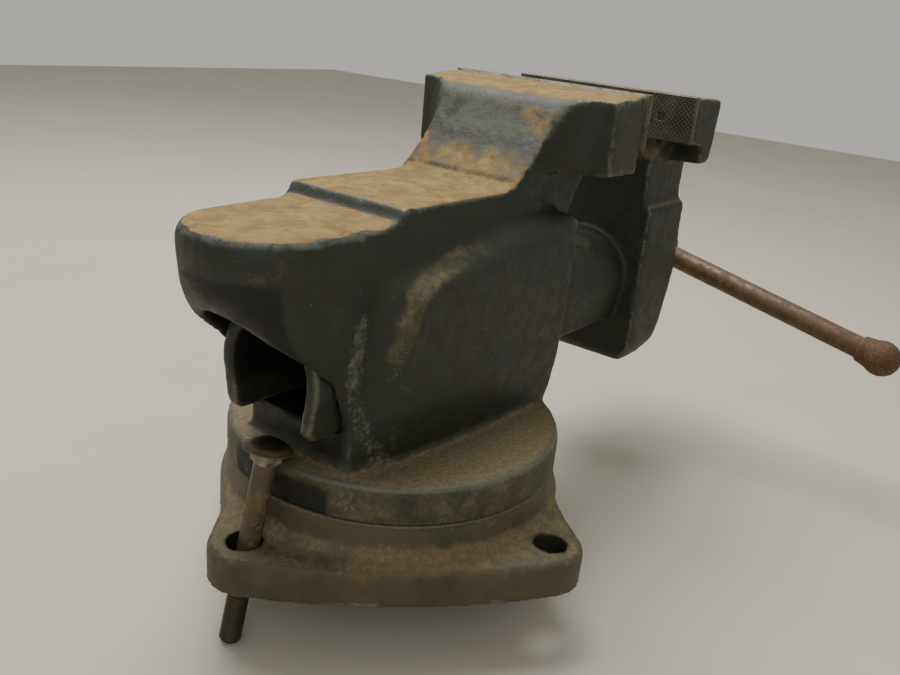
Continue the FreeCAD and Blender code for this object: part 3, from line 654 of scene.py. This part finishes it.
def make_body():
    obj = remeshed("body_casting", 1.75)
    skin = Skin(obj)
    from_slide, from_swivel, in_tunnel, exact = body_zones(skin)
    free = skin.blur(1.0 - exact, 2) * (1.0 - exact)
    ease_body(skin, exact, free)
    at = Places(skin, 14, 21)
    masks = shape_masks(skin)
    masks["rust"], masks["bare_and_highlight"] = body_rust_and_wear(at)
    masks["dust"] = body_dust(at, from_swivel)
    around = np.stack([from_swivel, 0 * at.x, at.z], 1)
    flange_rim = near_path(around, [(100.5, 0, 65.2), (102.6, 0, 63.2)], 2.6)
    masks["edge"] = np.maximum(masks["edge"], flange_rim * 0.9)
    masks["scuff"] = body_scuffs(at)
    masks["grime"] = body_grime(at)
    # painted shade: the slide's tunnel, its bore and the hood's inside are darkened to near-black
    in_hood = (at.side < 35.5) & (at.z < 177) & (at.x < -84) & (at.up < 0.1)
    inside = in_tunnel | ((from_slide < 35) & (at.x < 95)) | in_hood
    masks["painted_shade_and_oil"] = 0.93 * skin.blur(inside.astype(float), 2)
    skin.store(masks)
    adopt(obj, "body_casting", casting_paint)


def make_moving_jaw():
    obj = remeshed("moving_jaw_casting", 1.62)
    skin = Skin(obj)
    x, y, z = skin.co.T
    side = np.abs(y)
    from_screw = np.hypot(y, z - SCREW_HEIGHT)
    exact = ((from_screw < 17.5) & (x > 200)) | (x > 311) | ((x < 217.5) & (z > 226.5) & (z < 261))
    slide = ramp(x, 219, 214) * ramp(z, 157, 154)
    free = (1.0 - exact) * (1 - 0.75 * slide)
    skin.relax(3, 0.5)
    skin.relax(5, 0.5 * (1.0 - exact) * (1 - 0.5 * slide))
    skin.relax(10, 0.5 * (1.0 - exact) * ramp(x, 219, 224) * ramp(z, 222, 205))
    skin.snap(nodes["moving_jaw_casting"], exact)
    worn(skin, free, 43, 0.6, 0.3, 0.8)
    normal = skin.normals()
    x, y, z = skin.co.T
    side = np.abs(y)
    up = normal[:, 2]
    wobble = fractal(skin.co, 13, 51)
    masks = shape_masks(skin)
    top = ramp(up, 0.8, 0.95) * ramp(z, 256, 258)
    masks["rust"] = top * (0.35 + 0.7 * wobble)
    shoulder = ramp(up, 0.4, 0.8) * ramp(z, 170, 175) * ramp(z, 222, 205)
    under = ramp(x, 226, 219) * ramp(z, 205, 214) * ramp(z, 228, 226) * ramp(wobble, 0.4, 0.6)
    crown = ramp(up, 0.5, 0.9) * slide * ramp(x, 90, 120) * 0.3
    masks["dust"] = np.maximum.reduce([shoulder * 0.8, under * 0.7, crown * wobble,
                                       0.5 * ramp(side, 71, 73) * wobble])
    masks["grime"] = near_spot(skin.co, (221, -30, 216), 16) * 0.5
    masks["bare_and_highlight"] = 0.35 * near_spot(skin.co, (255, -71, 236), 20)
    # painted shade: near-black inside the slide's bore and at its rear end
    inside = np.maximum(ramp(x, -60, -80) * ramp(from_screw, 34, 30), ramp(from_screw, 28, 26))
    masks["painted_shade_and_oil"] = 0.75 * slide * inside
    skin.store(masks)
    adopt(obj, "moving_jaw_casting", casting_paint)


def make_base():
    obj = remeshed("swivel_base", 1.6)
    skin = Skin(obj)
    x, y, z = skin.co.T
    pivot = np.hypot(x, y)
    exact = (z < 0.4) | ((z > 41.6) & (pivot < 103)) | ((pivot < 97.5) & (z > 11))
    for turn in range(4):
        centre = HOLE_CIRCLE * np.array((math.cos(turn * math.pi / 2), math.sin(turn * math.pi / 2)))
        exact |= np.hypot(x - centre[0], y - centre[1]) < 10.2
    free = skin.blur(1.0 - exact, 2) * (1.0 - exact)
    skin.relax(3, 0.5)
    skin.relax(7, 0.5 * free)
    skin.snap(nodes["swivel_base"], exact)
    worn(skin, free, 83, 0.8, 0.4, 1.0)
    normal = skin.normals()
    x, y, z = skin.co.T
    pivot = np.hypot(x, y)
    up = normal[:, 2]
    wobble = fractal(skin.co, 16, 91)
    masks = shape_masks(skin)
    streak_path = [(-92, -66, 23.5), (-79, -76, 23.4), (-67, -87, 23.2), (-53, -97, 23), (-30, -114, 22.5)]
    streaks = near_path(skin.co, streak_path, 22)
    far = near_path(skin.co, [(66, 88, 23), (30, 112, 22.5)], 14)
    masks["rust"] = np.maximum(streaks * (0.05 + 0.62 * wobble), far * 0.45 * wobble)
    flat = ramp(up, 0.6, 0.95) * ramp(z, 20, 22)
    cove = ramp(pivot, 118, 108) * ramp(z, 22, 24) * ramp(up, 0.0, 0.5)
    masks["dust"] = np.maximum(flat * (0.3 + 0.5 * wobble), cove * (0.3 + 0.7 * wobble))
    yellow = np.maximum(near_spot(skin.co, (-86, -62, 26), 20), near_spot(skin.co, (-104, -34, 24), 14) * 0.7)
    masks["grime"] = yellow * 0.35
    lower = near_path(np.stack([0 * x, 0 * x, z], 1), [(0, 0, 0.2), (0, 0, 0.8)], 3.5) * ramp(y, 0, -60)
    masks["scuff"] = lower * ramp(wobble, 0.5, 0.62) * 0.6
    # painted shade: near-black inside the base's bore and bolt holes
    masks["painted_shade_and_oil"] = 0.7 * skin.blur((exact & (z > 0.5) & (z < 41.5)).astype(float), 1)
    skin.store(masks)
    adopt(obj, "swivel_base", base_paint)


# ------------------------------------------------------------------ jaw plates

def make_jaw_plate(node, face_x, inward, half_width, bottom, top):
    """Plate with a diagonal crosshatch cut into its gripping face and two pin holes."""
    step = 0.5
    columns = int(2 * half_width / step) + 1
    rows = int((top - bottom) / step) + 1
    y, z = np.meshgrid(np.linspace(-half_width, half_width, columns), np.linspace(bottom, top, rows),
                       indexing="ij")
    y, z = y.ravel(), z.ravel()
    border = np.minimum.reduce([y + half_width, half_width - y, z - bottom, top - z])
    pitch = 2.4
    valley = np.zeros(len(y))
    for sign in (1, -1):
        across = ((y + sign * z) / (math.sqrt(2) * pitch)) % 1
        valley = np.maximum(valley, 1 - np.abs(across - 0.5) * 2)
    points = np.stack([np.full(len(y), face_x), y, z], 1)
    wear = fractal(points, 22, 7)
    depth = 0.55 * ramp(valley, 0.45, 1.0) * (0.55 + 0.6 * wear) * ramp(border, 0.4, 1.4)
    depth += 0.35 * ramp(border, 0.9, 0.0) + 0.08 * fractal(points, 3, 8)
    for side in (-PIN_OFFSET, PIN_OFFSET):
        distance = np.hypot(y - side, z - PIN_HEIGHT)
        close = np.abs(distance - 3.2) < 0.36
        pull = np.where(close, 3.2 / np.maximum(distance, 0.1), 1.0)
        y = side + (y - side) * pull
        z = PIN_HEIGHT + (z - PIN_HEIGHT) * pull
        depth = np.where(distance < 3.0, 1.7, np.where(close, 0.25, depth))
    front = np.stack([face_x + inward * depth, y, z], 1)
    grid = np.arange(columns * rows).reshape(columns, rows)
    loop = list(grid[:, 0]) + list(grid[-1, 1:]) + list(grid[-2::-1, -1]) + list(grid[0, -2:0:-1])
    back = front[loop].copy()
    back[:, 0] = face_x + inward * PLATE_THICKNESS
    faces = np.stack([grid[:-1, :-1], grid[1:, :-1], grid[1:, 1:], grid[:-1, 1:]], -1).reshape(-1, 4).tolist()
    first = len(front)
    for index in range(len(loop)):
        after = (index + 1) % len(loop)
        faces.append([int(loop[after]), int(loop[index]), first + index, first + after])
    faces.append([first + index for index in reversed(range(len(loop)))])
    if inward > 0:
        faces = [list(reversed(face)) for face in faces]
    mesh = bpy.data.meshes.new(node)
    mesh.from_pydata((np.concatenate([front, back]) * MM).tolist(), [], faces)
    mesh.update()
    obj = link(bpy.data.objects.new("look_" + node, mesh))
    skin = Skin(obj)
    all_depth = np.concatenate([depth, np.full(len(loop), 0.3)])
    rim = np.concatenate([ramp(border, 1.6, 0.3), np.ones(len(loop))])
    wobble = fractal(skin.co, 12, 15)
    masks = {"cavity": ramp(all_depth, 0.3, 0.6) * 0.9, "edge": rim * 0.35 * wobble,
             "dust": ramp(skin.co[:, 2], top - 2.5, top) * ramp(wobble, 0.45, 0.65) * 0.8,
             "rust": 0.5 * ramp(wobble, 0.5, 0.7)}
    skin.store(masks)
    adopt(obj, node, jaw_steel)


# ------------------------------------------------------------------ screw, handle and bolts

def make_screw():
    head = remeshed("lead_screw", 0.95, keep=((SCREW_JOURNAL, 0, SCREW_HEIGHT), (1, 0, 0)))
    skin = Skin(head)
    in_bore = (skin.co[:, 0] < 316)
    skin.relax(3, 0.4)
    sink = 0.06 + 0.1 * fractal(skin.co, 9, 71)
    skin.co = skin.co - skin.normals() * sink[:, None] * (1 - 0.5 * in_bore)[:, None]
    skin.write()
    thread = threaded("thread", (SCREW_REAR, 0, SCREW_HEIGHT), (1, 0, 0), SCREW_JOURNAL - SCREW_REAR + 1,
                      crest=14.95, root=12.3, pitch=6.0, square=0.5, step=0.6, columns=56)
    join(head, thread)
    skin = Skin(head)
    masks = shape_masks(skin, 3, 0.4)
    x = skin.co[:, 0]
    # an oil film on the thread, and near-black painted shade on the screw's rear inside the body
    oily = 0.35 * ramp(x, 210, 200) * (1 - fractal(skin.co, 9, 73))
    masks["painted_shade_and_oil"] = np.maximum(0.9 * ramp(x, 20, -20), oily)
    masks["bare_and_highlight"] = 0.4 * ramp(x, 322, 326) * ramp(fractal(skin.co, 8, 74), 0.45, 0.6)
    skin.store(masks)
    adopt(head, "lead_screw", screw_steel)


def make_handle():
    along = np.array((0, math.cos(BAR_SLOPE), math.sin(BAR_SLOPE)))
    centre = BAR_CENTRE - along * BAR_OUT
    half = BAR_HALF_LENGTH
    stations = np.arange(0, 2 * half + 0.1, 1.3)
    columns = 56
    angle = 2 * math.pi * np.arange(columns) / columns
    lengths, across = np.meshgrid(stations, 9 * np.cos(angle), indexing="ij")
    probe = np.stack([lengths, across, np.tile(9 * np.sin(angle), (len(stations), 1))], -1)
    dents = 0.28 * fractal(probe.reshape(-1, 3), 11, 101).reshape(probe.shape[:2])
    rod = turned("look_handle_rod", stations, BAR_RADIUS - dents, centre - along * half, along)
    skin = Skin(rod)
    masks = shape_masks(skin, 3, 0.12)
    far = (skin.co - centre) @ along
    masks["bare_and_highlight"] = 0.28 * ramp(fractal(skin.co, 16, 105), 0.5, 0.7)
    masks["rust"] = 0.6 * ramp(far, -60, -118)
    skin.store(masks)
    adopt(rod, "handle_rod", handle_steel)
    for node, seed in (("handle_knob_near", 111), ("handle_knob_far", 112)):
        knob = remeshed(node, 0.62)
        skin = Skin(knob)
        end = centre + along * half * (-1 if node.endswith("near") else 1)
        from_axis = np.linalg.norm(np.cross(skin.co - end, along), axis=1)
        outer = ramp(from_axis, 9.1, 9.9)
        skin.relax(14, 0.5 * np.maximum(outer, from_axis < 8.5))
        skin.co = skin.co - skin.normals() * (0.35 * fractal(skin.co, 6, seed) * outer)[:, None]
        masks = shape_masks(skin, 5, 0.2)
        masks["rust"] = 0.7 * fractal(skin.co, 9, seed + 3)
        skin.store(masks)
        adopt(knob, node, handle_steel)


def make_mounting_bolt():
    axis = (BOLT_TOP - BOLT_TIP) / np.linalg.norm(BOLT_TOP - BOLT_TIP)
    cut = BOLT_TIP + axis * BOLT_THREAD
    upper = remeshed("mounting_bolt", 0.6, keep=(tuple(cut), tuple(axis)))
    skin = Skin(upper)
    skin.relax(5, 0.45)
    skin.co = skin.co - skin.normals() * (0.22 * fractal(skin.co, 7, 121))[:, None]
    skin.write()
    lower = threaded("thread", BOLT_TIP, axis, BOLT_THREAD + 1.5,
                     crest=6.2, root=5.15, pitch=2.0, square=0.0, step=0.25, columns=44)
    join(upper, lower)
    skin = Skin(upper)
    masks = shape_masks(skin, 3, 0.35)
    height = (skin.co - BOLT_TIP) @ axis
    masks["rust"] = ramp(height, 50, 62) * ramp(height, 118, 108) * 0.45 * fractal(skin.co, 14, 123)
    masks["bare_and_highlight"] = ramp(height, 104, 108) * ramp(height, 116, 113) * 0.5
    # painted shade: the head inside the slide's channel and the thread under the base plate
    masks["painted_shade_and_oil"] = np.maximum(0.75 * ramp(height, 117, 119), 0.5 * ramp(height, 49, 44))
    skin.store(masks)
    adopt(upper, "mounting_bolt", mounting_bolt_steel)


def make_lock_bolt():
    """The CAD's T-head and plain shank below, a real thread above."""
    body = remeshed("lock_bolt", 0.55, keep=((0, 0, LOCK_THREAD_FOOT + 1), (0, 0, -1)))
    skin = Skin(body)
    skin.relax(2, 0.4)
    skin.write()
    pitch = 1.75
    foot = (LOCK_AXIS[0], LOCK_AXIS[1], LOCK_THREAD_FOOT)
    join(body, threaded("thread", foot, (0, 0, 1), LOCK_THREAD_LENGTH,
                        crest=5.95, root=5.1, pitch=pitch, square=0.0, step=pitch / 8, columns=40))
    skin = Skin(body)
    skin.store(shape_masks(skin, 3, 0.3))
    adopt(body, "lock_bolt", bolt_steel)


def make_small(node, voxel, rounds, seed, sink):
    """Small turned or forged piece: eased edges and a slightly uneven surface."""
    obj = remeshed(node, voxel)
    skin = Skin(obj)
    skin.relax(rounds, 0.4)
    skin.co = skin.co - skin.normals() * (sink * fractal(skin.co, 4, seed))[:, None]
    masks = shape_masks(skin, 4, 0.3)
    masks["rust"] = 0.5 * fractal(skin.co, 8, seed + 1)
    skin.store(masks)
    adopt(obj, node, MATERIAL[SLOT[node]])


# node, voxel size and rounds of easing
SMALL_PIECES = (
    ("king_bolt", 0.8, 3), ("king_bolt_washer", 0.5, 2), ("fixed_jaw_plate_pins", 0.45, 2),
    ("moving_jaw_plate_pins", 0.45, 2), ("screw_thrust_washer", 0.6, 2), ("screw_retaining_collar", 0.7, 2),
    ("retaining_collar_pin", 0.45, 2), ("main_nut", 1.0, 4), ("main_nut_bolt", 0.5, 2),
    ("main_nut_washer", 0.4, 2), ("main_nut_dowels", 0.45, 2), ("lock_washer", 0.45, 2),
    ("lock_nut", 0.45, 3))

make_body()
make_moving_jaw()
make_base()
make_jaw_plate("fixed_jaw_plate", JAW_FACE, -1, JAW_HALF_WIDTH, JAW_PLATE_BOTTOM, JAW_TOP)
make_jaw_plate("moving_jaw_plate", MOVING_JAW_FACE, 1, MOVING_JAW_HALF_WIDTH, JAW_PLATE_BOTTOM,
               MOVING_JAW_TOP)
make_screw()
make_handle()
make_mounting_bolt()
make_lock_bolt()
for number, (small_node, voxel_size, eased) in enumerate(SMALL_PIECES):
    make_small(small_node, voxel_size, eased, 131 + number, 0.3 if small_node == "main_nut" else 0.05)


# ------------------------------------------------------------------ camera, light and floor

def make_camera():
    """Camera behind and to the left of the vise, a little above it, leaning to one side."""
    yaw = math.radians(35.6)
    pitch = math.radians(20.0)
    roll = math.radians(5.79)
    forward = Vector((math.cos(yaw) * math.cos(pitch), math.sin(yaw) * math.cos(pitch), -math.sin(pitch)))
    level_right = Vector((math.sin(yaw), -math.cos(yaw), 0))
    level_up = level_right.cross(forward)
    right = level_right * math.cos(roll) + level_up * math.sin(roll)
    up = level_up * math.cos(roll) - level_right * math.sin(roll)
    data = bpy.data.cameras.new("camera")
    data.sensor_width = 36
    data.lens = 35.89
    data.clip_start = 0.01
    camera = bpy.data.objects.new("camera", data)
    rotation = Matrix((right, up, -forward)).transposed().to_4x4()
    camera.matrix_world = Matrix.Translation(Vector((-399.6, -322.2, 300.9)) * MM) @ rotation
    link(camera)
    bpy.context.scene.camera = camera


def area_light(name, place, target, size, power, tint):
    data = bpy.data.lights.new(name, "AREA")
    data.shape = "DISK"
    data.size = size
    data.energy = power
    data.color = tint
    light = bpy.data.objects.new(name, data)
    direction = Vector(target) - Vector(place)
    light.rotation_euler = direction.to_track_quat("-Z", "Y").to_euler()
    light.location = place
    link(light)


def make_floor():
    bpy.ops.mesh.primitive_plane_add(size=6, location=(0, 0, FLOOR * MM))
    floor = bpy.context.object
    floor.name = "floor"
    s = Shader("floor")
    shade = s.mix(s.noise(180, 4, 0.6), colour("b0aa9f"), colour("bcb6aa"))
    s.connect(shade, s.surface.inputs["Base Color"])
    s.surface.inputs["Roughness"].default_value = 0.85
    floor.data.materials.append(s.material)


make_camera()
area_light("key", (0.25, 0.55, 1.7), (0.05, 0, 0.1), 1.3, 42, (1, 0.98, 0.95))
area_light("fill", (-1.3, -0.9, 0.9), (0, 0, 0.1), 1.4, 6, (1, 0.99, 0.96))
world = bpy.data.worlds.new("world")
world.use_nodes = True
world.node_tree.nodes["Background"].inputs[0].default_value = (0.9, 0.88, 0.83, 1)
world.node_tree.nodes["Background"].inputs[1].default_value = 0.55
bpy.context.scene.world = world
make_floor()
